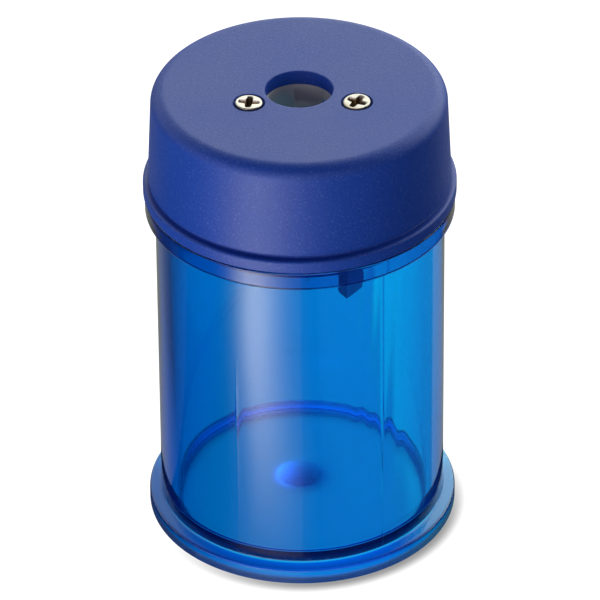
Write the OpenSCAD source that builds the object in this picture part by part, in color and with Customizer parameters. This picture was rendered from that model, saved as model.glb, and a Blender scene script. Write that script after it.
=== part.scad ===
// Single-hole canister pencil sharpener.
// A translucent canister stands on a flanged foot and catches the shavings.
// A push-fit lid carries a cast sharpener with its blade, held by two screws.
// Millimetres, +Z up, origin at the centre of the face the canister stands on.
// The two lid screws sit on the -Y side of the pencil hole.

/* [Canister] */
// Outer radius of the canister wall
wall_r = 18.53; // [18.3:0.01:18.7]
// Wall thickness just below the mouth
wall_t = 1.78; // [1.6:0.01:1.85]
// Extra wall thickness at the floor, from the moulding draft
wall_draft = 0.25; // [0:0.05:0.4]
// Height of the top of the collar ring
ring_top = 48.1; // [46:0.1:50]
// Height of the collar ring itself
ring_h = 2.52; // [2:0.02:3.5]
// Outer radius of the collar ring
ring_r = 19.84; // [19.5:0.01:20]
// Height of the thin neck above the collar ring
neck_h = 7.5; // [5:0.1:9]
// Outer radius of the neck
neck_r = 17.72; // [17.6:0.01:17.8]
// Outer radius of the foot flange
foot_r = 20.08; // [19.6:0.01:20.4]
// Thickness of the foot flange
foot_h = 2.57; // [2.2:0.01:3]
// Height of the inner floor
floor_z = 3; // [2.8:0.05:3.6]
// Depth of the recess under the floor
recess_d = 1.3; // [0.8:0.05:1.6]
// Radius of the fillet between the inner floor and the wall
floor_fillet = 1.5; // [0.8:0.1:2]
// Radius of the moulding gate dome on the inner floor
gate_r = 2.7; // [2:0.1:3.2]
// Height of the moulding gate dome
gate_h = 0.95; // [0.5:0.05:1.2]

/* [Lid] */
// Height of the lid from the lower edge of its rim to its top
lid_h = 14.84; // [14:0.02:16]
// Outer radius of the lid just under its rounded top edge
lid_top_r = 18.86; // [18.7:0.01:19]
// Outer radius of the lid just above its rim
lid_low_r = 19.38; // [19.2:0.01:19.5]
// Radius of the rounded top edge
lid_round = 1.85; // [1:0.05:2.2]
// Outer radius of the rim at the foot of the lid
rim_r = 20.03; // [19.8:0.01:20.2]
// Height of the rim
rim_h = 1.81; // [1.5:0.01:2.4]
// Inner radius of the outer skirt
skirt_in_r = 17.9; // [17.88:0.01:18]
// Thickness of the top plate
plate_t = 1.94; // [1.6:0.02:2.2]
// Radius of the pencil hole in the top plate
hole_r = 4.32; // [4.25:0.01:4.6]
// Outer radius of the inner plug skirt
plug_r = 16.5; // [16.3:0.01:16.55]
// Thickness of the inner plug skirt
plug_t = 1.15; // [0.9:0.05:1.4]
// How far the plug skirt ends below the lower edge of the rim
plug_drop = 2.2; // [1.5:0.1:3]
// How far the three ribs end below the lower edge of the rim
rib_drop = 6.4; // [4:0.1:7]
// Direction of the first rib, in degrees from the screw side towards +X
rib_dir = 20.1; // [10:0.1:40]

/* [Lid screws] */
// Half the distance between the two lid screws
screw_half = 6.79; // [6.7:0.01:6.9]
// Sideways offset of the pair of screws from the pencil hole
screw_shift = 0.46; // [0.4:0.01:0.5]
// Distance of the screws from the hole's centre, towards -Y
screw_back = 3.12; // [3:0.01:3.2]
// Radius of the screw heads
head_r = 1.74; // [1.6:0.02:1.8]
// How far the flat of a screw head stands above the lid
head_proud = 0.22; // [0:0.02:0.4]
// Length of a lid screw under its head's flat
lid_screw_l = 6; // [5:0.1:6.5]

/* [Sharpener] */
// Radius of the straight lead-in of the pencil bore
bore_r = 4.15; // [4.1:0.01:4.16]
// Length of the straight lead-in
lead_l = 3.3; // [2.8:0.1:3.6]
// Half angle of the sharpening cone
cone_half = 11.5; // [11:0.1:12]
// Length of the cast sharpener from its flange to its tip
cast_l = 21.8; // [20.5:0.1:22]
// Thickness of the mounting flange
flange_t = 2.3; // [2:0.1:2.6]
// Depth of the shaving window behind the tangent of the cone
window_d = 1.6; // [1.2:0.1:1.8]

/* [Blade] */
// Length of the blade
blade_l = 19.6; // [18.5:0.1:19.6]
// Width of the blade
blade_w = 7.1; // [6.8:0.1:7.1]
// Thickness of the blade
blade_t = 0.8; // [0.7:0.05:0.9]
// Width of the ground bevel at the cutting edge
bevel_w = 1.9; // [1.5:0.1:2]
// Distance of the blade screw from the cutting line
blade_screw_y = 4.2; // [4.2:0.05:4.3]
// Distance of the blade screw below the start of the cone
blade_screw_z = 10; // [9.5:0.5:12]

/* [Hidden] */
$fn = 96;
eps = 0.01;
// The rim rests a hair above the collar ring.
seat_gap = 0.1;
rim_z = ring_top + seat_gap;
top_z = rim_z + lid_h;
plate_z = top_z - plate_t;
mouth_r = wall_r - wall_t;
floor_r = mouth_r - wall_draft;
neck_top = ring_top + neck_h;
cone_z = plate_z - 0.18 - lead_l;
cast_z = plate_z - cast_l;
flange_z = plate_z - flange_t;
screws = [[screw_shift - screw_half, -screw_back], [screw_shift + screw_half, -screw_back]];

// Points of an arc about (x, y) from angle a0 to a1.
function arc(x, y, r, a0, a1, n = 6) = [for (i = [0:n]) [x + r * cos(a0 + (a1 - a0) * i / n), y + r * sin(a0 + (a1 - a0) * i / n)]];

// The gate dome is a cap of a sphere with this radius.
dome_r = (gate_r * gate_r + gate_h * gate_h) / (2 * gate_h);
dome_a = asin(gate_r / dome_r);

module canister() {
    color([0.02, 0.42, 0.80, 0.6])
        rotate_extrude($fn = 180)
            polygon(concat(
                [[0, recess_d], [foot_r - 3.4, recess_d]],
                [[foot_r - 2.9, recess_d - 0.4], [foot_r - 2.7, 0]],
                [[foot_r - 0.7, 0]],
                arc(foot_r - 0.55, 0.55, 0.55, -75, 0, 5),
                arc(foot_r - 0.5, foot_h - 0.5, 0.5, 0, 90, 5),
                arc(wall_r + 0.35, foot_h + 0.35, 0.35, 270, 180, 4),
                [[wall_r, ring_top - ring_h - 0.1], [wall_r + 0.1, ring_top - ring_h]],
                arc(ring_r - 0.4, ring_top - ring_h + 0.4, 0.4, -90, 0, 4),
                [[ring_r, ring_top - 0.2], [ring_r - 0.2, ring_top], [neck_r, ring_top]],
                [[neck_r, neck_top - 0.35], [neck_r - 0.3, neck_top], [mouth_r + 0.25, neck_top], [mouth_r, neck_top - 0.35]],
                [[floor_r, floor_z + floor_fillet]],
                arc(floor_r - floor_fillet, floor_z + floor_fillet, floor_fillet, 0, -90, 6),
                [for (i = [0:6]) let (a = dome_a * (1 - i / 6)) [dome_r * sin(a), floor_z + gate_h - dome_r * (1 - cos(a))]]
            ));
}

// One rib of the plug skirt, as seen from below: a sharp outer corner with two flat sides.
module rib() {
    translate([0, 0, rim_z - rib_drop])
        linear_extrude(plate_z - rim_z + rib_drop + 0.5)
            polygon([[0, -16.23], [2.76, -14.42], [1.6, -13.6], [-0.6, -13.7], [-0.69, -14.1]]);
}

module lid() {
    color([0.14, 0.17, 0.47])
        difference() {
            union() {
                rotate_extrude($fn = 180)
                    polygon(concat(
                        [[hole_r, plate_z], [hole_r, top_z - 0.12], [hole_r + 0.12, top_z]],
                        arc(lid_top_r - lid_round, top_z - lid_round, lid_round, 90, 0, 8),
                        [[lid_low_r - 0.02, rim_z + rim_h + 0.5], [lid_low_r - 0.4, rim_z + rim_h + 0.38], [lid_low_r - 0.4, rim_z + rim_h + 0.08]],
                        [[rim_r - 0.4, rim_z + rim_h]],
                        arc(rim_r - 0.3, rim_z + rim_h - 0.3, 0.3, 75, 0, 3),
                        arc(rim_r - 0.3, rim_z + 0.3, 0.3, 0, -90, 4),
                        [[skirt_in_r + 0.2, rim_z], [skirt_in_r, rim_z + 0.25], [skirt_in_r, plate_z - 1]],
                        [[skirt_in_r - 0.35, plate_z - 0.3], [skirt_in_r - 0.9, plate_z], [plug_r, plate_z]],
                        [[plug_r, rim_z - plug_drop + 0.3], [plug_r - 0.25, rim_z - plug_drop]],
                        [[plug_r - plug_t, rim_z - plug_drop], [plug_r - plug_t, plate_z]]
                    ));
                for (k = [0:2]) rotate(rib_dir + 120 * k) rib();
            }
            for (s = screws) translate([s[0], s[1], 0]) {
                translate([0, 0, plate_z - 1]) cylinder(r = 1.15, h = plate_t + 2);
                translate([0, 0, top_z - 0.3]) cylinder(r = 2.02, h = 1);
                translate([0, 0, top_z - 1.15]) cylinder(r1 = 1.15, r2 = 2.02, h = 0.85 + eps);
            }
        }
}

// Half width of the tangent between the boss about the bore and a screw ear.
boss_r = 7.2;
ear_r = 2.75;

// Outline of the mounting flange: a round boss joined to two ears.
module flange_outline() {
    circle(r = boss_r);
    for (s = screws) {
        d = norm(s);
        a = atan2(s[1], s[0]);
        t = acos((boss_r - ear_r) / d);
        translate(s) circle(r = ear_r, $fn = 64);
        polygon([
            [(boss_r - 0.04) * cos(a + t), (boss_r - 0.04) * sin(a + t)],
            [s[0] + (ear_r - 0.04) * cos(a + t), s[1] + (ear_r - 0.04) * sin(a + t)],
            s,
            [s[0] + (ear_r - 0.04) * cos(a - t), s[1] + (ear_r - 0.04) * sin(a - t)],
            [(boss_r - 0.04) * cos(a - t), (boss_r - 0.04) * sin(a - t)],
            [0, 0]
        ]);
    }
}

// Outline of the cast block below the flange, with rounded corners.
module block_outline() {
    translate([-5.9, -5.9]) square([10.6, 10.9]);
    translate([-4.9, -6.9]) square([9.6, 12.9]);
    for (p = [[-4.9, -5.9], [-4.9, 5]]) translate(p) circle(r = 1, $fn = 48);
}

// The frame of the blade seat: X is the seat's outward normal, Z runs up the cutting line.
module on_seat() {
    translate([bore_r, 0, cone_z]) rotate([0, cone_half, 0]) children();
}

module sharpener_body() {
    color([0.42, 0.42, 0.43])
        difference() {
            union() {
                translate([0, 0, flange_z]) linear_extrude(flange_t) flange_outline();
                translate([0, 0, cast_z]) linear_extrude(flange_z - cast_z + 0.5) block_outline();
            }
            // pencil bore: mouth chamfer, straight lead-in, sharpening cone and tip relief
            rotate_extrude($fn = 128)
                polygon([
                    [0, cast_z - 1], [0.55, cast_z - 1],
                    [0.55, cone_z - (bore_r - 0.55) / tan(cone_half)],
                    [bore_r, cone_z], [bore_r, plate_z - 0.18], [bore_r + 0.18, plate_z], [bore_r + 0.18, plate_z + 1], [0, plate_z + 1]
                ]);
            // flat seat that carries the blade
            on_seat() translate([0, -20, -30]) cube([15, 40, 30 + (flange_z - cone_z) / cos(cone_half)]);
            // shaving window beside the cutting line
            on_seat() translate([-window_d, 0, -30]) cube([15, 20, 30 + (flange_z - cone_z) / cos(cone_half)]);
            translate([3.05, 0, flange_z - 2]) cube([10, 9, 2.8]);
            // shallow finger scallops on the two sides of the block
            for (s = [-1, 1]) translate([0, s > 0 ? 6 + 36.9 : -6.9 - 36.9, (flange_z + cast_z) / 2]) rotate([0, 90, 0]) cylinder(r = 37.7, h = 40, center = true, $fn = 160);
            // tapped holes for the lid screws and the blade screw
            for (s = screws) translate([s[0], s[1], flange_z - 2.6]) cylinder(r = 1.05, h = 8, $fn = 48);
            on_seat() translate([0, -blade_screw_y, -blade_screw_z]) rotate([0, -90, 0]) translate([0, 0, -3]) cylinder(r = 1.45, h = 9, $fn = 48);
        }
}

module blade() {
    color([0.80, 0.81, 0.83])
        on_seat()
            difference() {
                translate([0, 0, -blade_l + 0.95])
                    linear_extrude(blade_l)
                        polygon([[0, 0.25], [blade_t, 0.25 - bevel_w], [blade_t, 0.25 - blade_w], [0, 0.25 - blade_w]]);
                translate([-1, -blade_screw_y, -blade_screw_z]) rotate([0, 90, 0]) cylinder(r = 1.5, h = 4, $fn = 48);
            }
}

// Slotted cheese-head screw that clamps the blade.
module blade_screw() {
    color([0.72, 0.70, 0.64])
        on_seat()
            translate([blade_t, -blade_screw_y, -blade_screw_z]) rotate([0, 90, 0])
                difference() {
                    rotate_extrude($fn = 64)
                        polygon([[0, -5.6], [1.0, -5.6], [1.4, -5.2], [1.4, 0], [2.2, 0], [2.2, 0.95], [1.9, 1.25], [1.2, 1.42], [0, 1.48]]);
                    translate([-3, -0.3, 0.75]) cube([6, 0.6, 2]);
                }
}

// Countersunk screw with a cross recess, its flat at z = 0.
module cross_screw(turn, tilt) {
    rotate([0, tilt, 0])
        difference() {
            rotate_extrude($fn = 64)
                polygon([
                    [0, -lid_screw_l], [0.35, -lid_screw_l], [0.95, -lid_screw_l + 0.9],
                    [0.95, -1.25], [head_r, -0.45], [head_r, -0.12], [head_r - 0.12, 0], [0, 0]
                ]);
            rotate(turn) for (a = [0, 90]) rotate(a) translate([-1.22, -0.21, -0.75]) cube([2.44, 0.42, 1]);
            rotate(turn) translate([0, 0, -0.95]) cylinder(r1 = 0.3, r2 = 0.62, h = 1, $fn = 32);
        }
}

module left_lid_screw() {
    color([0.86, 0.84, 0.80])
        translate([screws[0][0], screws[0][1], top_z + head_proud]) cross_screw(-8, 0);
}

module right_lid_screw() {
    color([0.86, 0.84, 0.80])
        translate([screws[1][0], screws[1][1], top_z + head_proud + 0.05]) cross_screw(-40, 0);
}

canister();
lid();
sharpener_body();
blade();
blade_screw();
left_lid_screw();
right_lid_screw();
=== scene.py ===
import math

import bmesh
import bpy
import numpy as np
from mathutils import Matrix, Vector


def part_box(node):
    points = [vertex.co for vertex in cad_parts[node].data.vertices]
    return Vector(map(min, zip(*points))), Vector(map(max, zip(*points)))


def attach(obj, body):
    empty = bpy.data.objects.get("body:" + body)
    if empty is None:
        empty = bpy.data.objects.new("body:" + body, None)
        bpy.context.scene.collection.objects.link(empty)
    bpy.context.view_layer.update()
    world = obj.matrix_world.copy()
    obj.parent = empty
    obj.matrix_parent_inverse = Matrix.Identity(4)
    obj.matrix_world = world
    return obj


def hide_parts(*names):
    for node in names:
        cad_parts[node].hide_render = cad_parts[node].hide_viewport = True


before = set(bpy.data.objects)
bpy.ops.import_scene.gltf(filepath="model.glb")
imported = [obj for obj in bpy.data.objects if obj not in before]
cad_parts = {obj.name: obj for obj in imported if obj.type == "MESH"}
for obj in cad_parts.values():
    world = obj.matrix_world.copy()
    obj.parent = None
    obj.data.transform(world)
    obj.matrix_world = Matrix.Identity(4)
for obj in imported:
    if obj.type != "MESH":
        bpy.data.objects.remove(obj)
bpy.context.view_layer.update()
MM = 0.001
D = bpy.data
SCENE = bpy.context.scene
COLL = SCENE.collection

# ---------------------------------------------------------------- main sizes, in mm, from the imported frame
can_lo, can_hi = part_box("canister")
lid_lo, lid_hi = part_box("lid")
cast_lo, cast_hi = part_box("sharpener_body")
scr_l_lo, scr_l_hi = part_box("left_lid_screw")
scr_r_lo, scr_r_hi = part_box("right_lid_screw")
FOOT_R = can_hi.x / MM  # 20.08
NECK_TOP = can_hi.z / MM  # 55.6
TOP_Z = lid_hi.z / MM  # 63.04
RIM_R = lid_hi.x / MM  # 20.03
PLATE_Z = cast_hi.z / MM  # 61.10
CAST_Z = cast_lo.z / MM  # 39.30
NECK_H, RING_H = 7.5, 2.52
RING_TOP = NECK_TOP - NECK_H
RIM_Z = RING_TOP + 0.1
RIM_H = 1.81
WALL_R, MOUTH_R, FLOOR_R = 18.53, 16.75, 16.5
RING_R, NECK_R = 19.84, 17.72
FOOT_H, FLOOR_Z, RECESS, FILLET = 2.57, 3.0, 1.3, 0.9
LID_TOP_R, LID_LOW_R, LID_ROUND = 18.86, 19.38, 1.85
SKIRT_R, PLUG_R, PLUG_T, PLUG_DROP, RIB_DROP, RIB_DIR = 17.9, 16.5, 1.15, 2.2, 6.4, 20.1
HOLE_R, BORE_R, LEAD, CONE_HALF = 4.32, 4.15, 3.3, math.radians(11.5)
CONE_Z = PLATE_Z - 0.18 - LEAD
SCREWS = {
    "left_lid_screw": ((scr_l_lo + scr_l_hi) / 2 / MM, scr_l_hi.z / MM - 0.05, -8.0, -1.0, 1.0),
    "right_lid_screw": ((scr_r_lo + scr_r_hi) / 2 / MM, scr_r_hi.z / MM - 0.14, -32.0, 3.0, -2.5),
}
RIDGES = (-27.0, 34.0)  # where the two mould halves meet, in degrees from the -Y side towards +X


# ---------------------------------------------------------------- mesh helpers
def arc(x, y, r, a0, a1, n=8):
    return [(x + r * math.cos(math.radians(a0 + (a1 - a0) * i / n)), y + r * math.sin(math.radians(a0 + (a1 - a0) * i / n))) for i in range(n + 1)]


def line(p, q, n):
    """Points from p to q without the last."""
    return [(p[0] + (q[0] - p[0]) * i / n, p[1] + (q[1] - p[1]) * i / n) for i in range(n)]


def new_object(name, mesh):
    ob = D.objects.new(name, mesh)
    COLL.objects.link(ob)
    return ob


def revolve(name, profile, angles, move=None):
    """A closed surface of revolution about Z from a closed (r, z) outline. move(r, z, a, k) may shift a point: k is its index in the outline."""
    verts, rings = [], []
    for k, (r, z) in enumerate(profile):
        if r < 1e-6:
            rings.append([len(verts)])
            verts.append((0, 0, z))
        else:
            ring = []
            for a in angles:
                rr, zz = move(r, z, a, k) if move else (r, z)
                ring.append(len(verts))
                verts.append((rr * math.sin(a), -rr * math.cos(a), zz))
            rings.append(ring)
    faces, n = [], len(angles)
    closed_on_axis = len(rings[0]) == 1 and len(rings[-1]) == 1
    pairs = list(zip(rings, rings[1:])) + ([] if closed_on_axis else [(rings[-1], rings[0])])
    for a, b in pairs:
        if len(a) == 1 and len(b) == 1:
            continue
        for i in range(n):
            j = (i + 1) % n
            if len(a) == 1:
                faces.append((a[0], b[i], b[j]))
            elif len(b) == 1:
                faces.append((a[i], b[0], a[j]))
            else:
                faces.append((a[i], b[i], b[j], a[j]))
    me = D.meshes.new(name)
    me.from_pydata([tuple(c * MM for c in v) for v in verts], [], faces)
    me.update()
    tidy(me)
    return new_object(name, me)


def tidy(me):
    bm = bmesh.new()
    bm.from_mesh(me)
    bmesh.ops.recalc_face_normals(bm, faces=bm.faces)
    bm.to_mesh(me)
    bm.free()


def smooth(ob, angle=32.0, weighted=True):
    ob.data.shade_smooth()
    ob.data.set_sharp_from_angle(angle=math.radians(angle))
    if weighted:
        m = ob.modifiers.new("weighted", "WEIGHTED_NORMAL")
        m.keep_sharp, m.weight = True, 60
    return ob


def bake_modifiers(ob):
    dg = bpy.context.evaluated_depsgraph_get()
    me = D.meshes.new_from_object(ob.evaluated_get(dg))
    old = ob.data
    ob.modifiers.clear()
    ob.data = me
    me.name = ob.name
    if old.users == 0:
        D.meshes.remove(old)
    return ob


def cut(ob, cutter, operation="DIFFERENCE"):
    m = ob.modifiers.new("cut", "BOOLEAN")
    m.operation, m.solver, m.object = operation, "EXACT", cutter
    bake_modifiers(ob)
    me = cutter.data
    D.objects.remove(cutter)
    D.meshes.remove(me)
    return ob


def clean(ob):
    """Welds slivers, drops loose specks and closes what they leave open."""
    bm = bmesh.new()
    bm.from_mesh(ob.data)
    bmesh.ops.remove_doubles(bm, verts=bm.verts, dist=2e-6)
    bmesh.ops.dissolve_degenerate(bm, dist=1e-6, edges=bm.edges)
    seen, specks = set(), []
    for face in bm.faces:
        if face in seen:
            continue
        island, stack = [], [face]
        seen.add(face)
        while stack:
            f = stack.pop()
            island.append(f)
            for e in f.edges:
                for g in e.link_faces:
                    if g not in seen:
                        seen.add(g)
                        stack.append(g)
        if len(island) < 40:
            specks += island
    bmesh.ops.delete(bm, geom=specks, context="FACES")
    bmesh.ops.delete(bm, geom=[v for v in bm.verts if not v.link_faces], context="VERTS")
    bmesh.ops.holes_fill(bm, edges=[e for e in bm.edges if e.is_boundary], sides=0)
    bmesh.ops.recalc_face_normals(bm, faces=bm.faces)
    bm.to_mesh(ob.data)
    bm.free()
    return ob


def solid(name, verts, faces):
    me = D.meshes.new(name)
    me.from_pydata([tuple(c * MM for c in v) for v in verts], [], faces)
    me.update()
    tidy(me)
    return new_object(name, me)


def prism(name, outline, z0, z1, matrix=None):
    """A closed prism over an (x, y) outline."""
    n = len(outline)
    verts = [(x, y, z0) for x, y in outline] + [(x, y, z1) for x, y in outline]
    faces = [tuple(range(n))[::-1], tuple(range(n, 2 * n))] + [(i, (i + 1) % n, n + (i + 1) % n, n + i) for i in range(n)]
    ob = solid(name, verts, faces)
    if matrix is not None:
        ob.data.transform(matrix)
        tidy(ob.data)
    return ob


def even(n):
    return [2 * math.pi * i / n for i in range(n)]


# ---------------------------------------------------------------- canister
def canister_angles():
    found = {round(a, 6) for a in even(264)}
    for ridge in RIDGES:
        c = math.radians(ridge) % (2 * math.pi)
        found = {a for a in found if abs((a - c + math.pi) % (2 * math.pi) - math.pi) > 0.62 / WALL_R}
        for s in (-0.55, -0.4, -0.28, -0.2, -0.14, -0.09, -0.045, 0, 0.045, 0.09, 0.14, 0.2, 0.28, 0.4, 0.55):
            found.add(round((c + s / WALL_R) % (2 * math.pi), 6))
    return sorted(found)


def canister_outline():
    """(points, tags). A tag says which surface the point lies on."""
    pts, tags = [], []

    def add(points, tag):
        for p in points:
            if pts and abs(p[0] - pts[-1][0]) + abs(p[1] - pts[-1][1]) < 1e-5:
                continue
            pts.append(p)
            tags.append(tag)

    add([(0, RECESS)] + line((2.0, RECESS), (FOOT_R - 3.9, RECESS), 6), "under")
    add(arc(FOOT_R - 3.9 + 0.1, RECESS - 0.5, 0.5, 90, 12, 5)[:-1], "under")
    add(arc(FOOT_R - 2.6, 0.35, 0.35, 190, 270, 5), "foot")
    add(line((FOOT_R - 2.6, 0.0), (FOOT_R - 0.6, 0.0), 4), "foot")
    add(arc(FOOT_R - 0.6, 0.6, 0.6, -90, 0, 10), "flange")
    add(arc(FOOT_R - 0.55, FOOT_H - 0.67, 0.55, 0, 82, 10), "flange")
    add(line((FOOT_R - 0.56, FOOT_H - 0.11), (WALL_R + 0.35, FOOT_H), 3), "flange")
    add(arc(WALL_R + 0.35, FOOT_H + 0.35, 0.35, 270, 180, 7), "flange")
    add(line((WALL_R, FOOT_H + 0.4), (WALL_R, RING_TOP - RING_H - 0.22), 36), "wall")
    add(arc(WALL_R + 0.2, RING_TOP - RING_H - 0.2, 0.2, 180, 90, 4), "wall")
    add(arc(RING_R - 0.4, RING_TOP - RING_H + 0.4, 0.4, -90, 0, 8), "ring")
    add(line((RING_R, RING_TOP - RING_H + 0.45), (RING_R, RING_TOP - 0.25), 3), "ring")
    add(arc(RING_R - 0.2, RING_TOP - 0.2, 0.2, 0, 90, 4), "ring")
    add(line((RING_R - 0.25, RING_TOP), (NECK_R + 0.15, RING_TOP), 4), "neck")
    add(arc(NECK_R + 0.15, RING_TOP + 0.15, 0.15, 270, 180, 3), "neck")
    add(line((NECK_R, RING_TOP + 0.2), (NECK_R, NECK_TOP - 0.35), 6), "neck")
    add(arc(NECK_R - 0.3, NECK_TOP - 0.3, 0.3, 0, 90, 5), "neck")
    add(arc(MOUTH_R + 0.28, NECK_TOP - 0.25, 0.25, 90, 170, 5), "neck")
    add(line((MOUTH_R, NECK_TOP - 0.4), (FLOOR_R, FLOOR_Z + FILLET + 0.05), 40), "inner")
    add(arc(FLOOR_R - FILLET, FLOOR_Z + FILLET, FILLET, 0, -90, 14), "corner")
    add(line((FLOOR_R - FILLET - 0.05, FLOOR_Z), (3.6, FLOOR_Z), 10), "floor")
    dome_r = (3.1**2 + 0.85**2) / (2 * 0.85)
    dome_a = math.asin(3.1 / dome_r)
    dome = []
    for i in range(0, 13):
        a = dome_a * (1 - i / 13)
        dome.append((dome_r * math.sin(a), FLOOR_Z + 0.85 - dome_r * (1 - math.cos(a))))
    dome[0] = (3.16, FLOOR_Z + 0.015)
    add(dome, "dome")
    add([(0.28, FLOOR_Z + 0.80), (0.0, FLOOR_Z + 0.76)], "dome")
    return pts, tags


def build_canister():
    pts, tags = canister_outline()
    ridge_at = [math.radians(r) for r in RIDGES]

    def move(r, z, a, k):
        tag = tags[k]
        if tag in ("wall", "ring") or (tag == "flange" and r > WALL_R + 0.2):
            for i, c in enumerate(ridge_at):
                s = ((a - c + math.pi) % (2 * math.pi) - math.pi) * WALL_R
                if abs(s) < 0.6:
                    rise = (0.5 + 0.5 * math.tanh(s / 0.05)) * math.exp(-((s / 0.3) ** 2))
                    if i == 0:
                        bump = 0.032 * rise * min(1.0, max(0.0, (33.0 - z) / 5.0))
                    else:
                        bump = 0.06 * math.exp(-((s / 0.13) ** 2)) - 0.02 * rise
                    if tag == "wall":
                        r += bump
                    elif tag == "ring":
                        r -= 0.7 * max(bump, 0)
                    elif z > FOOT_H - 0.01:
                        z += 0.5 * max(bump, 0)
                    else:
                        r -= 0.6 * max(bump, 0)
        if tag == "inner":
            r += ripple(a, z)
        return r, z

    ob = revolve("canister_shell", pts, canister_angles(), move)
    for v in ob.data.vertices:  # the gate sits a little behind the middle
        far = math.hypot(v.co.x, v.co.y) / MM
        if FLOOR_Z - 0.01 < v.co.z / MM < FLOOR_Z + 1.2 and far < 9.0:
            k = 1.0 - min(1.0, max(0.0, (far - 3.7) / 5.3))
            v.co.x -= 0.35 * MM * k
            v.co.y += 1.2 * MM * k
    smooth(ob, 50, weighted=False)
    return ob


def ripple(a, z):
    """The inner wall is moulded a little wavy: flow lines beside the two mould seams and a slow swell all round."""
    s = ((a + math.pi) % (2 * math.pi) - math.pi) * WALL_R
    swell = 0.010 * math.sin(3 * a + 0.4) + 0.006 * math.sin(7 * a + z * 0.12)
    lines = 0.0
    for centre, width, wave, height in ((8.6, 1.5, 2.6, 0.020), (13.2, 2.2, 3.4, 0.024), (-8.8, 1.0, 2.2, 0.010)):
        d = s - centre - 0.05 * (z - 25)
        lines += height * math.sin(2 * math.pi * d / wave) * math.exp(-((d / width) ** 2))
    return swell + lines


# ---------------------------------------------------------------- lid
def build_lid():
    low = RIM_Z + RIM_H
    outline = []
    outline += arc(HOLE_R + 0.14, TOP_Z - 0.14, 0.14, 180, 90, 5)
    outline += line((HOLE_R + 0.3, TOP_Z), (LID_TOP_R - LID_ROUND - 0.25, TOP_Z), 14)
    outline += [(LID_TOP_R - LID_ROUND - 0.25, TOP_Z)]
    outline += arc(LID_TOP_R - LID_ROUND, TOP_Z - LID_ROUND, LID_ROUND, 90, 0, 22)
    outline += line((LID_TOP_R + 0.008, TOP_Z - LID_ROUND - 0.25), (LID_LOW_R - 0.02, low + 0.62), 16)
    outline += arc(LID_LOW_R - 0.17, low + 0.60, 0.15, 0, -80, 5)
    outline += [(LID_LOW_R - 0.36, low + 0.42)] + arc(LID_LOW_R - 0.32, low + 0.25, 0.12, 150, 230, 4) + [(LID_LOW_R - 0.34, low + 0.06)]
    outline += [(LID_LOW_R - 0.2, low + 0.0)]
    outline += line((LID_LOW_R - 0.1, low), (RIM_R - 0.36, low), 2)
    outline += arc(RIM_R - 0.36, low - 0.36, 0.36, 90, 0, 9)
    outline += line((RIM_R, low - 0.45), (RIM_R, RIM_Z + 0.4), 4)
    outline += arc(RIM_R - 0.32, RIM_Z + 0.32, 0.32, 0, -90, 8)
    outline += line((RIM_R - 0.4, RIM_Z), (SKIRT_R + 0.3, RIM_Z), 4)
    outline += arc(SKIRT_R + 0.25, RIM_Z + 0.25, 0.25, 270, 180, 5)
    outline += line((SKIRT_R, RIM_Z + 0.4), (SKIRT_R, PLATE_Z - 1.1), 6)
    outline += arc(SKIRT_R - 0.9, PLATE_Z - 0.9, 0.9, 0, 90, 6)
    outline += [(PLUG_R + 0.15, PLATE_Z)] + arc(PLUG_R + 0.15, PLATE_Z - 0.15, 0.15, 90, 180, 3)[1:]
    outline += line((PLUG_R, PLATE_Z - 0.3), (PLUG_R, RIM_Z - PLUG_DROP + 0.35), 8)
    outline += arc(PLUG_R - 0.25, RIM_Z - PLUG_DROP + 0.25, 0.25, 0, -90, 4)
    outline += arc(PLUG_R - PLUG_T + 0.2, RIM_Z - PLUG_DROP + 0.2, 0.2, 270, 180, 4)
    outline += line((PLUG_R - PLUG_T, RIM_Z - PLUG_DROP + 0.4), (PLUG_R - PLUG_T, PLATE_Z - 0.6), 6)
    outline += arc(PLUG_R - PLUG_T - 0.5, PLATE_Z - 0.5, 0.5, 0, 90, 5)
    outline += line((PLUG_R - PLUG_T - 0.6, PLATE_Z), (HOLE_R + 0.2, PLATE_Z), 8)
    outline += arc(HOLE_R + 0.1, PLATE_Z + 0.1, 0.1, 270, 180, 3)
    outline += line((HOLE_R, PLATE_Z + 0.15), (HOLE_R, TOP_Z - 0.14), 3)
    clean = []
    for p in outline:
        if not clean or abs(p[0] - clean[-1][0]) + abs(p[1] - clean[-1][1]) > 1e-4:
            clean.append(p)
    if abs(clean[0][0] - clean[-1][0]) + abs(clean[0][1] - clean[-1][1]) < 1e-4:
        clean.pop()
    ob = revolve("lid_shell", clean, even(256))
    for k in range(3):
        turn = Matrix.Rotation(math.radians(RIB_DIR + 120 * k), 4, "Z")
        rib = prism("rib", [(0, -16.23), (2.76, -14.42), (1.6, -13.6), (-0.2, -13.7), (-0.35, -14.6)], RIM_Z - RIB_DROP, PLATE_Z + 0.5, turn)
        cut(ob, rib, "UNION")
    for name, (at, top, turn, tilt_x, tilt_y) in SCREWS.items():
        well = [(0, PLATE_Z - 1), (1.15, PLATE_Z - 1), (1.15, TOP_Z - 1.15), (2.0, TOP_Z - 0.3), (2.02, TOP_Z - 0.08), (2.14, TOP_Z + 0.04), (2.14, TOP_Z + 1), (0, TOP_Z + 1)]
        hole = revolve("hole", well, even(72))
        hole.data.transform(Matrix.Translation((at.x * MM, at.y * MM, 0)))
        cut(ob, hole)
    smooth(ob, 34)
    return ob


# ---------------------------------------------------------------- screws
def tri(t):
    t = t % 1.0
    return 1 - abs(2 * t - 1)


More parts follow.
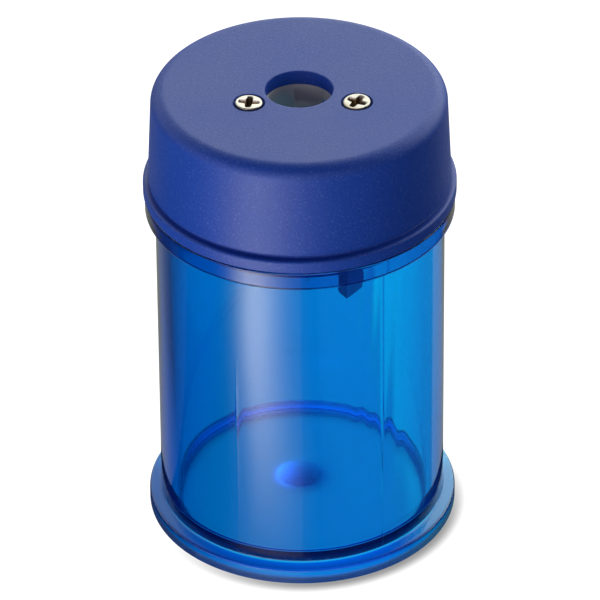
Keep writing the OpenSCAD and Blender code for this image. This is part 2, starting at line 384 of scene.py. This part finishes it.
def threaded(name, head, root, crest, z_top, z_tip, pitch, tip_r, segs=56):
    """A screw: head outline from the axis outwards and down to the shank, then a helical thread, then a pointed or flat tip."""
    outline = list(head)
    n = max(24, int((z_top - z_tip) / pitch * 9))
    start = len(outline)
    outline += line((crest, z_top), (crest, z_tip), n) + [(crest, z_tip)]
    end = len(outline)
    outline += [(tip_r, z_tip - 0.12), (0, z_tip - 0.18)]

    def move(r, z, a, k):
        if start <= k < end:
            fade = min(1.0, (z_top - z) / (1.2 * pitch)) * min(1.0, max(0.0, (z - z_tip) / (1.6 * pitch)) * 0.85 + 0.15)
            wave = max(0.0, min(1.0, (tri(z / pitch + a / (2 * math.pi)) - 0.18) / 0.64))
            r = root + (crest - root) * wave * fade
        return r, z

    return revolve(name, outline, even(segs), move)


def wing(name, half_top, half_low, thick_top, thick_low, z0, z1, turn):
    """One tapered wing of a cross recess."""
    verts = [(s * (half_low if z == z0 else half_top), t * (thick_low if z == z0 else thick_top), z) for z in (z0, z1) for s, t in ((-1, -1), (1, -1), (1, 1), (-1, 1))]
    ob = solid(name, verts, [(3, 2, 1, 0), (4, 5, 6, 7), (0, 1, 5, 4), (1, 2, 6, 5), (2, 3, 7, 6), (3, 0, 4, 7)])
    ob.data.transform(Matrix.Rotation(math.radians(turn), 4, "Z"))
    return ob


def cross_wing(turn):
    """One wing of the cross recess: broad in the middle, narrower at its rounded ends, and tapered downwards."""
    top = [(-1.36, -0.22), (-1.27, -0.34), (-0.6, -0.46), (0.6, -0.46), (1.27, -0.34), (1.36, -0.22)]
    top = top + [(-x, -y) for x, y in top]
    low = [(x * 0.62, y * 0.6) for x, y in top]
    n = len(top)
    verts = [(x, y, -1.05) for x, y in low] + [(x * 1.03, y * 1.03, 0.06) for x, y in top]
    faces = [tuple(range(n))[::-1], tuple(range(n, 2 * n))] + [(i, (i + 1) % n, n + (i + 1) % n, n + i) for i in range(n)]
    ob = solid("wing", verts, faces)
    ob.data.transform(Matrix.Rotation(math.radians(turn), 4, "Z"))
    return ob


def build_lid_screw(name):
    at, top, turn, tilt_x, tilt_y = SCREWS[name]
    length = (scr_l_hi.z - scr_l_lo.z) / MM
    r = 1.74
    head = [(0, 0.0), (0.9, -0.006)] + arc(r - 0.16, -0.16, 0.15, 90, 8, 6) + [(r, -0.2), (r, -0.4), (r - 0.05, -0.5), (1.0, -1.2)]
    ob = threaded(name + "_piece", head, 0.72, 0.95, -1.3, -length + 0.55, 0.4, 0.45)
    for extra in (0, 90):
        cut(ob, cross_wing(turn + extra))
    core = revolve("core", [(0, -1.05), (0.22, -1.05), (0.46, 0.05), (0, 0.05)], even(24))
    core.data.transform(Matrix.Rotation(math.radians(turn + 45), 4, "Z"))
    cut(ob, core)
    m = ob.modifiers.new("edge", "BEVEL")
    m.width, m.segments, m.limit_method, m.angle_limit, m.use_clamp_overlap = 0.02 * MM, 2, "ANGLE", math.radians(50), True
    bake_modifiers(ob)
    clean(ob)
    smooth(ob, 40)
    drop = 0.045
    ob.data.transform(
        Matrix.Translation((at.x * MM, at.y * MM, (top - drop) * MM)) @ Matrix.Rotation(math.radians(tilt_x), 4, "X") @ Matrix.Rotation(math.radians(tilt_y), 4, "Y")
    )
    return ob


SEAT = Matrix.Translation((BORE_R * MM, 0, CONE_Z * MM)) @ Matrix.Rotation(CONE_HALF, 4, "Y")


def build_blade_screw():
    head = [(0, 1.48), (0.6, 1.47), (1.2, 1.42), (1.6, 1.34), (1.95, 1.16), (2.15, 0.98), (2.2, 0.85), (2.2, 0.12), (2.12, 0.0), (1.42, 0.0)]
    ob = threaded("blade_screw_piece", head, 1.12, 1.4, -0.02, -5.35, 0.5, 0.95)
    cut(ob, wing("slot", 3.2, 3.2, 0.3, 0.27, 0.72, 2.0, 24))
    m = ob.modifiers.new("edge", "BEVEL")
    m.width, m.segments, m.limit_method, m.angle_limit = 0.04 * MM, 2, "ANGLE", math.radians(50)
    bake_modifiers(ob)
    smooth(ob, 40)
    ob.data.transform(SEAT @ Matrix.Translation((0.8 * MM, -4.2 * MM, -10 * MM)) @ Matrix.Rotation(math.radians(90), 4, "Y"))
    return ob


def build_blade():
    length, w, t, bevel = 19.6, 7.1, 0.8, 1.9
    c = 0.12
    outline = [(0, 0.25), (0.02, 0.25), (t, 0.25 - bevel), (t, 0.25 - w + c), (t - c, 0.25 - w), (c, 0.25 - w), (0, 0.25 - w + c)]
    ob = prism("blade_piece", outline, -length + 0.95, 0.95)
    hole = revolve("hole", [(0, -1), (1.5, -1), (1.5, 2), (0, 2)], even(64))
    hole.data.transform(Matrix.Translation((-0.5 * MM, -4.2 * MM, -10 * MM)) @ Matrix.Rotation(math.radians(90), 4, "Y"))
    cut(ob, hole)
    m = ob.modifiers.new("edge", "BEVEL")
    m.width, m.segments, m.limit_method, m.angle_limit = 0.05 * MM, 2, "ANGLE", math.radians(40)
    bake_modifiers(ob)
    clean(ob)
    smooth(ob, 30)
    ob.data.transform(SEAT)
    return ob


# ---------------------------------------------------------------- cast sharpener body
def build_cast():
    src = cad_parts["sharpener_body"]
    me = src.data.copy()
    me.materials.clear()
    ob = new_object("sharpener_casting", me)
    bm = bmesh.new()
    bm.from_mesh(me)
    bmesh.ops.remove_doubles(bm, verts=bm.verts, dist=2e-6)
    bmesh.ops.dissolve_limit(bm, angle_limit=math.radians(1.0), verts=bm.verts, edges=bm.edges)
    bmesh.ops.recalc_face_normals(bm, faces=bm.faces)
    bm.to_mesh(me)
    bm.free()
    m = ob.modifiers.new("edge", "BEVEL")
    m.width, m.segments, m.limit_method, m.angle_limit, m.use_clamp_overlap = 0.14 * MM, 3, "ANGLE", math.radians(38), True
    m.harden_normals = False
    bake_modifiers(ob)
    # the mouth of the bore opens out until it is almost flush with the hole in the lid
    lead = revolve("lead", [(0, PLATE_Z + 1.0), (4.27, PLATE_Z + 1.0), (4.25, PLATE_Z), (BORE_R - 0.02, PLATE_Z - 1.9), (0, PLATE_Z - 1.9)], even(128))
    lead.data.transform(Matrix.Translation((0.07 * MM, 0.03 * MM, 0)))
    cut(ob, lead)
    cut(ob, low_trim())
    smooth(ob, 30)
    return ob


def low_trim():
    """A wedge that takes the lower front edge off the casting."""
    outline = [(-6.9, CAST_Z + 1.45), (-5.0, CAST_Z - 0.1), (-5.0, CAST_Z - 2.0), (-14.0, CAST_Z - 2.0), (-14.0, CAST_Z + 6.4)]
    n = len(outline)
    verts = [(x, y, z) for x in (-12.0, 5.0) for y, z in outline]
    faces = [tuple(range(n))[::-1], tuple(range(n, 2 * n))] + [(i, (i + 1) % n, n + (i + 1) % n, n + i) for i in range(n)]
    return solid("trim", verts, faces)


# ---------------------------------------------------------------- materials
class Tree:
    """A short way to write node trees."""

    def __init__(self, name):
        self.m = D.materials.new(name)
        self.m.use_nodes = True
        self.t = self.m.node_tree
        self.p = self.t.nodes["Principled BSDF"]
        self.out = self.t.nodes["Material Output"]
        self.where = self.add("ShaderNodeTexCoord").outputs["Object"]

    def add(self, kind, **values):
        n = self.t.nodes.new(kind)
        for k, v in values.items():
            setattr(n, k, v)
        return n

    def put(self, socket, value):
        if isinstance(value, bpy.types.NodeSocket):
            self.t.links.new(value, socket)
        else:
            socket.default_value = value

    def scaled(self, sx, sy, sz):
        n = self.add("ShaderNodeMapping")
        self.put(n.inputs["Vector"], self.where)
        n.inputs["Scale"].default_value = (sx, sy, sz)
        return n.outputs["Vector"]

    def noise(self, scale, detail=3.0, rough=0.5, vector=None, distort=0.0):
        n = self.add("ShaderNodeTexNoise")
        self.put(n.inputs["Vector"], vector or self.where)
        n.inputs["Scale"].default_value, n.inputs["Detail"].default_value, n.inputs["Roughness"].default_value = scale, detail, rough
        n.inputs["Distortion"].default_value = distort
        return n.outputs["Fac"]

    def voronoi(self, scale, feature="F1", vector=None, out="Distance"):
        n = self.add("ShaderNodeTexVoronoi", feature=feature)
        self.put(n.inputs["Vector"], vector or self.where)
        n.inputs["Scale"].default_value = scale
        return n.outputs[out]

    def ramp(self, fac, stops):
        n = self.add("ShaderNodeValToRGB")
        self.put(n.inputs["Fac"], fac)
        e = n.color_ramp.elements
        while len(e) < len(stops):
            e.new(0.5)
        for el, (pos, col) in zip(e, stops):
            el.position = pos
            el.color = (*col, 1) if len(col) == 3 else col
        return n.outputs["Color"]

    def span(self, fac, a, b, lo, hi):
        n = self.add("ShaderNodeMapRange")
        self.put(n.inputs["Value"], fac)
        for k, v in zip(("From Min", "From Max", "To Min", "To Max"), (a, b, lo, hi)):
            n.inputs[k].default_value = v
        return n.outputs["Result"]

    def math(self, op, a, b=None):
        n = self.add("ShaderNodeMath", operation=op)
        self.put(n.inputs[0], a)
        if b is not None:
            self.put(n.inputs[1], b)
        return n.outputs[0]

    def mix(self, fac, a, b):
        n = self.add("ShaderNodeMix", data_type="RGBA")
        self.put(n.inputs["Factor"], fac)
        self.put([s for s in n.inputs if s.name == "A" and s.type == "RGBA"][0], a)
        self.put([s for s in n.inputs if s.name == "B" and s.type == "RGBA"][0], b)
        return [s for s in n.outputs if s.type == "RGBA"][0]

    def bump(self, *layers):
        """layers of (height, strength, distance in mm)."""
        normal = None
        for height, strength, distance in layers:
            n = self.add("ShaderNodeBump")
            n.inputs["Strength"].default_value, n.inputs["Distance"].default_value = strength, distance * MM
            self.put(n.inputs["Height"], height)
            if normal is not None:
                self.put(n.inputs["Normal"], normal)
            normal = n.outputs["Normal"]
        self.put(self.p.inputs["Normal"], normal)

    def set(self, **values):
        names = {"color": "Base Color", "rough": "Roughness", "metal": "Metallic", "ior": "IOR", "transmission": "Transmission Weight", "coat": "Coat Weight", "coat_rough": "Coat Roughness", "sheen": "Sheen Weight", "sheen_rough": "Sheen Roughness", "spec": "Specular IOR Level", "sss": "Subsurface Weight", "sss_radius": "Subsurface Radius", "sss_scale": "Subsurface Scale", "anisotropic": "Anisotropic"}
        for k, v in values.items():
            if not isinstance(v, bpy.types.NodeSocket) and isinstance(v, tuple) and len(v) == 3 and k in ("color",):
                v = (*v, 1)
            self.put(self.p.inputs[names[k]], v)


def canister_material():
    t = Tree("canister_clear_blue")
    smear = t.noise(120, 3, 0.55, t.scaled(1, 1, 0.35))
    scuff = t.noise(1500, 2, 0.6, t.scaled(1, 1, 0.2))
    rough = t.math("ADD", t.span(smear, 0.35, 0.7, 0.015, 0.05), t.span(scuff, 0.6, 0.8, 0.0, 0.02))
    # the underside of the foot is left as spark-eroded in the mould, the walls are polished
    height = t.add("ShaderNodeSeparateXYZ")
    t.put(height.inputs[0], t.where)
    rough = t.math("MAXIMUM", rough, t.span(height.outputs["Z"], 0.00145, 0.0017, 0.42, 0.0))
    t.set(color=(1.0, 1.0, 1.0), transmission=1.0, ior=1.5, rough=rough)
    t.bump((t.noise(60, 1, 0.4, t.scaled(1, 1, 0.3)), 0.25, 0.03))
    vol = t.add("ShaderNodeVolumeAbsorption")
    vol.inputs["Color"].default_value = (0.0, 0.7855, 0.9123, 1)
    vol.inputs["Density"].default_value = 2200
    t.t.links.new(vol.outputs[0], t.out.inputs["Volume"])
    # lamps reach what is behind the clear wall
    ray = t.add("ShaderNodeLightPath")
    clear = t.add("ShaderNodeBsdfTransparent")
    clear.inputs["Color"].default_value = (0.50, 0.80, 0.95, 1)
    mixer = t.add("ShaderNodeMixShader")
    t.t.links.new(ray.outputs["Is Shadow Ray"], mixer.inputs[0])
    t.t.links.new(t.p.outputs[0], mixer.inputs[1])
    t.t.links.new(clear.outputs[0], mixer.inputs[2])
    t.t.links.new(mixer.outputs[0], t.out.inputs["Surface"])
    return t.m


def lid_material():
    t = Tree("lid_matte_blue")
    grain = t.noise(4200, 3, 0.65)
    fine = t.noise(9000, 2, 0.6)
    drift = t.noise(90, 2, 0.5)
    speck = t.noise(3600, 2, 0.6)
    base = t.ramp(drift, [(0.3, (0.002, 0.050, 0.40)), (0.7, (0.003, 0.056, 0.44))])
    base = t.mix(t.span(speck, 0.56, 0.70, 0.0, 0.30), base, (0.12, 0.20, 0.60, 1))
    base = t.mix(t.span(speck, 0.30, 0.44, 0.30, 0.0), base, (0.0, 0.02, 0.20, 1))
    rough = t.math("ADD", t.span(grain, 0.3, 0.7, 0.42, 0.56), t.span(drift, 0.3, 0.7, -0.02, 0.03))
    t.set(color=base, rough=rough, ior=1.5)
    t.bump((fine, 0.35, 0.03), (grain, 0.55, 0.05))
    return t.m


def cast_material():
    t = Tree("cast_light_metal")
    skin = t.noise(1500, 4, 0.6)
    drift = t.noise(160, 2, 0.5)
    tool = t.noise(500, 2, 0.5, t.scaled(0.05, 0.05, 14))
    base = t.ramp(drift, [(0.3, (0.50, 0.495, 0.49)), (0.7, (0.62, 0.615, 0.61))])
    t.set(color=base, metal=0.3, rough=t.span(skin, 0.3, 0.7, 0.5, 0.64))
    t.bump((skin, 0.25, 0.03), (tool, 0.25, 0.02))
    return t.m


def steel_material(name, color, lo, hi, streak, painted_shade_below=None):
    t = Tree(name)
    fine = t.noise(900, 3, 0.6, t.scaled(*streak))
    spots = t.noise(700, 3, 0.6)
    base = t.mix(t.span(spots, 0.5, 0.75, 0.0, 0.35), (*color, 1), tuple(c * 0.62 for c in color) + (1,))
    if painted_shade_below is not None:
        # painted shade: below this height, in the cross recess and on the side of the head down in its well, the steel
        # is painted dark brown
        height = t.add("ShaderNodeSeparateXYZ")
        t.put(height.inputs[0], t.where)
        base = t.mix(t.span(height.outputs["Z"], painted_shade_below - 0.00014, painted_shade_below, 1.0, 0.0), base, (0.24, 0.18, 0.11, 1))
    t.set(color=base, metal=1.0, rough=t.span(fine, 0.3, 0.7, lo, hi))
    t.bump((fine, 0.18, 0.01), (spots, 0.15, 0.012))
    return t.m


def paint(ob, material, body, node):
    ob.data.materials.clear()
    ob.data.materials.append(material)
    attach(ob, body)
    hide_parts(node)
    return ob


# ---------------------------------------------------------------- camera
def build_camera():
    cam = D.objects.new("camera", D.cameras.new("camera"))
    COLL.objects.link(cam)
    cam.data.lens, cam.data.sensor_width = 370.96, 36
    cam.data.clip_start, cam.data.clip_end = 0.05, 20
    e, dist = math.radians(33.874), 798.9
    target = Vector((-0.103, 0, 30.95)) * MM
    back = Vector((0, -math.cos(e), math.sin(e)))
    cam.location = target + back * dist * MM
    look = (-back).to_track_quat("-Z", "Y").to_matrix().to_4x4()
    cam.matrix_world = Matrix.Translation(cam.location) @ look @ Matrix.Rotation(math.radians(-0.49), 4, "Z")
    SCENE.camera = cam
    return cam


# ---------------------------------------------------------------- stage and light
class World(Tree):
    """The same short node writer for a world, the floor or a card."""

    def __init__(self, tree, coordinate):
        self.t = tree
        self.where = self.add("ShaderNodeTexCoord").outputs[coordinate]
        split = self.add("ShaderNodeSeparateXYZ")
        self.put(split.inputs[0], self.where)
        self.x, self.y, self.z = split.outputs

    def soft(self, value, a, b, lo=0.0, hi=1.0):
        n = self.add("ShaderNodeMapRange", interpolation_type="SMOOTHSTEP")
        self.put(n.inputs["Value"], value)
        for k, v in zip(("From Min", "From Max", "To Min", "To Max"), (a, b, lo, hi)):
            self.put(n.inputs[k], v)
        return n.outputs["Result"]

    def mul(self, *values):
        out = values[0]
        for v in values[1:]:
            out = self.math("MULTIPLY", out, v)
        return out

    def plus(self, *values):
        out = values[0]
        for v in values[1:]:
            out = self.math("ADD", out, v)
        return out

    def azimuth(self):
        """Degrees from the -Y side towards +X."""
        return self.math("MULTIPLY", self.math("ARCTAN2", self.x, self.math("MULTIPLY", self.y, -1.0)), 180 / math.pi)

    def radius(self):
        return self.math("SQRT", self.plus(self.mul(self.x, self.x), self.mul(self.y, self.y)))

    def bell(self, value, centre, width):
        d = self.math("DIVIDE", self.math("SUBTRACT", value, centre), width)
        return self.math("EXPONENT", self.mul(self.mul(d, d), -0.5))


def emitter(name):
    m = D.materials.new(name)
    m.use_nodes = True
    nt = m.node_tree
    for n in list(nt.nodes):
        nt.nodes.remove(n)
    out = nt.nodes.new("ShaderNodeOutputMaterial")
    em = nt.nodes.new("ShaderNodeEmission")
    nt.links.new(em.outputs[0], out.inputs["Surface"])
    return m, nt, em


def build_floor():
    s = 6.0
    me = D.meshes.new("floor")
    me.from_pydata([(-s, -s, -0.00002), (s, -s, -0.00002), (s, s, -0.00002), (-s, s, -0.00002)], [], [(0, 1, 2, 3)])
    floor = new_object("floor", me)
    m, nt, em = emitter("floor_white")
    w = World(nt, "Object")
    # painted light on the table, as the clear plastic shows it: darker towards the far left, brighter and cooler to the
    # right
    sweep = w.soft(w.x, -0.018, 0.016, 1.2, 1.72)
    edge = w.soft(w.x, -0.046, -0.024, 0.42, 1.0)
    r = w.radius()
    az = w.azimuth()
    under = w.mul(w.soft(r, 0.0155, 0.0172), w.soft(r, 0.0202, 0.0218, 1.0, 0.0))
    behind = w.soft(w.math("ABSOLUTE", az), 100.0, 145.0)
    beside = w.soft(w.math("ABSOLUTE", az), 35.0, 70.0)
    seen_through = w.mul(sweep, edge)
    # a painted contact shadow, seen only by the camera: a soft dark ring just outside the foot, strongest towards the
    # front right
    side = w.soft(w.math("ABSOLUTE", w.math("SUBTRACT", az, 32.0)), 25.0, 115.0, 0.72, 0.05)
    shade = w.math("SUBTRACT", 1.0, w.mul(side, w.soft(r, 0.0199, 0.0224, 1.0, 0.0)))
    ray = w.add("ShaderNodeLightPath")
    direct = ray.outputs["Is Camera Ray"]
    w.put(em.inputs["Strength"], w.plus(w.mul(direct, w.mul(shade, 1.22)), w.mul(w.math("SUBTRACT", 1.0, direct), seen_through)))
    # painted colour of that light across the table: a little blue at the far left, greener and brighter at the far
    # right
    stops = ((-17, 0.98, 1.0, 1.15), (-12, 0.98, 1.0, 0.95), (-2, 0.94, 0.93, 0.94), (3, 0.92, 0.88, 0.94), (10, 0.9, 0.9, 0.93), (13, 0.9, 0.95, 0.86), (15.2, 0.9, 1.6, 1.08), (18, 0.9, 1.68, 1.16))
    tint = w.ramp(w.span(w.x, -0.018, 0.018, 0.0, 1.0), [((x + 18) / 36, (r_, g_, b_)) for x, r_, g_, b_ in stops])
    # painted light and shade: the table below the foot is painted blue, as though lit only through the plastic, and
    # painted brighter behind, where that light gathers
    gathered = w.mul(behind, w.soft(r, 0.0176, 0.0187), w.soft(r, 0.0202, 0.0218, 1.0, 0.0))
    front = w.mul(under, w.math("SUBTRACT", 1.0, behind))
    foot = w.mix(front, (1, 1, 1, 1), w.mix(beside, (0.06, 0.32, 0.85, 1), (0.04, 0.34, 0.5, 1)))
    foot = w.mix(gathered, foot, (1.6, 2.3, 2.6, 1))
    # a painted bright spot and a painted dark patch on the table under the dome of the gate stand in for the dome's
    # highlight on its left and its shade on its right
    spot = w.mul(w.bell(w.x, -0.0020, 0.0008), w.bell(w.y, 0.0038, 0.0009))
    painted_dark_patch = w.mul(w.bell(w.x, 0.0014, 0.0014), w.bell(w.y, 0.0040, 0.0017), 0.85)
    foot = w.mix(painted_dark_patch, foot, (0.3, 0.22, 0.62, 1))
    foot = w.mix(spot, foot, (0.9, 3.2, 6.0, 1))
    both = w.add("ShaderNodeMix", data_type="RGBA", blend_type="MULTIPLY", clamp_result=False)
    w.put(both.inputs["Factor"], 1.0)
    w.put([q for q in both.inputs if q.name == "A" and q.type == "RGBA"][0], tint)
    w.put([q for q in both.inputs if q.name == "B" and q.type == "RGBA"][0], foot)
    tint = [q for q in both.outputs if q.type == "RGBA"][0]
    w.put(em.inputs["Color"], w.mix(direct, tint, (1, 1, 1, 1)))
    me.materials.append(m)
    floor.visible_glossy = False
    floor.visible_diffuse = False
    floor.visible_shadow = False


def build_card():
    """A white bounce card at the front left, level with the table. Only the object's gloss and shading see it."""
    me = D.meshes.new("bounce_card")
    verts, faces = [], []
    rings, n = (0.0001, 0.012, 0.0245), 60
    for i in range(n):
        a = 2 * math.pi * i / n
        verts += [(r * math.sin(a), -r * math.cos(a), -0.001) for r in rings]
        for k in range(2):
            p, q = i * 3 + k, ((i + 1) % n) * 3 + k
            faces.append((p, q, q + 1, p + 1))
    base = len(verts)
    rings, n = (0.0245, 0.05, 0.1, 0.2, 0.42), 40
    for i in range(n + 1):
        a = math.radians(-92 + 104 * i / n)
        verts += [(r * math.sin(a), -r * math.cos(a), -0.001) for r in rings]
        if i < n:
            for k in range(4):
                p = base + i * 5 + k
                faces.append((p, p + 5, p + 6, p + 1))
    me.from_pydata(verts, [], faces)
    me.update()
    card = new_object("bounce_card", me)
    m, nt, em = emitter("card_white")
    w = World(nt, "Object")
    r, az = w.radius(), w.azimuth()
    centre = w.soft(r, 0.025, 0.08, -22.0, -33.0)
    width = w.math("ADD", 8.5, w.math("MULTIPLY", w.math("GREATER_THAN", az, centre), 3.5))
    streak = w.mul(w.bell(az, centre, width), w.soft(r, 0.012, 0.085, 0.0, 6.2))
    close = w.plus(w.soft(r, 0.0150, 0.0172, 1.7, 0.0), w.soft(r, 0.0195, 0.0245, 0.04, 0.0))
    dim = w.mul(w.soft(az, -24.0, -8.0), w.soft(az, -0.6, 0.6, 1.0, 0.0), 0.22)
    w.put(em.inputs["Strength"], w.plus(streak, dim, close))
    em.inputs["Color"].default_value = (1.0, 0.93, 0.80, 1)
    me.materials.append(m)
    card.visible_camera = False
    card.visible_transmission = False
    card.visible_shadow = False


def build_world():
    world = D.worlds.new("studio")
    SCENE.world = world
    world.use_nodes = True
    bg = world.node_tree.nodes["Background"]
    w = World(world.node_tree, "Generated")
    az = w.azimuth()
    up = w.soft(w.z, -0.04, 0.1)
    back = w.mul(w.soft(w.y, -0.15, 0.55), w.soft(w.x, -0.22, -0.03, 0.35, 1.0))
    zenith = w.soft(w.z, 0.62, 0.95, 1.0, 0.15)
    above = w.mul(up, w.plus(w.mul(back, zenith, 2.5), 0.04))
    front = w.mul(w.bell(az, -30.0, 40.0), w.soft(w.z, -0.15, 0.02), w.soft(w.z, 0.25, 0.5, 1.0, 0.0), 1.5)
    low_left = w.soft(az, -120.0, -150.0, 0.0, 0.26)
    low_right = w.soft(az, 130.0, 134.0, 0.0, 0.27)
    below = w.mul(w.math("SUBTRACT", 1.0, up), w.plus(low_left, low_right, 0.04))
    w.put(bg.inputs["Strength"], w.plus(above, below, front))
    w.put(bg.inputs["Color"], w.mix(w.soft(w.y, 0.1, -0.3), (1.0, 1.04, 0.96, 1), (1.1, 0.97, 1.04, 1)))


def build_stage():
    build_floor()
    build_card()
    build_world()


build_camera()
clear_blue = canister_material()
matte_blue = lid_material()
cast_metal = cast_material()
blade_steel = steel_material("ground_blade_steel", (0.70, 0.71, 0.73), 0.16, 0.34, (1, 1, 0.04))
# the lid screws get painted shade from just above the lid's top downwards
screw_steel = steel_material("bright_screw_steel", (0.45, 0.42, 0.38), 0.18, 0.36, (1, 1, 1), (TOP_Z + 0.02) * MM)
brass_steel = steel_material("plain_screw_steel", (0.62, 0.58, 0.48), 0.22, 0.4, (1, 1, 1))

paint(build_canister(), clear_blue, "canister", "canister")
paint(build_lid(), matte_blue, "lid", "lid")
paint(build_cast(), cast_metal, "lid", "sharpener_body")
paint(build_blade(), blade_steel, "lid", "blade")
paint(build_blade_screw(), brass_steel, "lid", "blade_screw")
paint(build_lid_screw("left_lid_screw"), screw_steel, "lid", "left_lid_screw")
paint(build_lid_screw("right_lid_screw"), screw_steel, "lid", "right_lid_screw")

build_stage()

SCENE.view_settings.view_transform = "Standard"
SCENE.view_settings.look = "None"
SCENE.cycles.use_denoising = True
SCENE.cycles.max_bounces = 24
SCENE.cycles.transmission_bounces = 20
SCENE.cycles.glossy_bounces = 8
SCENE.cycles.diffuse_bounces = 4
SCENE.cycles.transparent_max_bounces = 24
SCENE.cycles.sample_clamp_indirect = 8.0
SCENE.cycles.caustics_refractive = True
SCENE.cycles.caustics_reflective = True
SCENE.cycles.blur_glossy = 0.3
